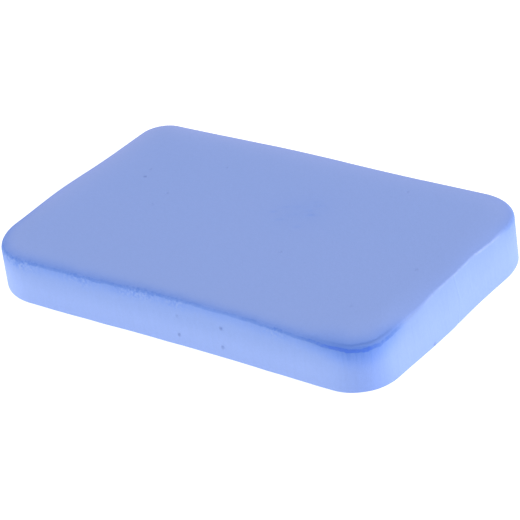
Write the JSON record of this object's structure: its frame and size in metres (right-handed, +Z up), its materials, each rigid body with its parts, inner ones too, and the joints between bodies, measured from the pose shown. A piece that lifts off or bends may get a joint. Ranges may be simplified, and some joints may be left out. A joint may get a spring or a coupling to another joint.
{
  "type": "clay bar",
  "caption": "Rounded slab of soft blue detailing clay, matt and dusty, with worn darker rims; wiped over wet paint to lift bonded grime.",
  "frame": {"origin": "middle of the flat underside, the bottom centre of the bar's box", "axes": "+Z up out of the top face, +X along the length, -Y towards the long front wall"},
  "size_m": [0.0964, 0.0614, 0.0104],
  "materials": {
    "clay": "matt, slightly dusty blue detailing clay, deeper and more saturated blue where the rims and corners have been handled"
  },
  "bodies": {
    "root": {"clay_bar": "clay"}
  },
  "joints": []
}
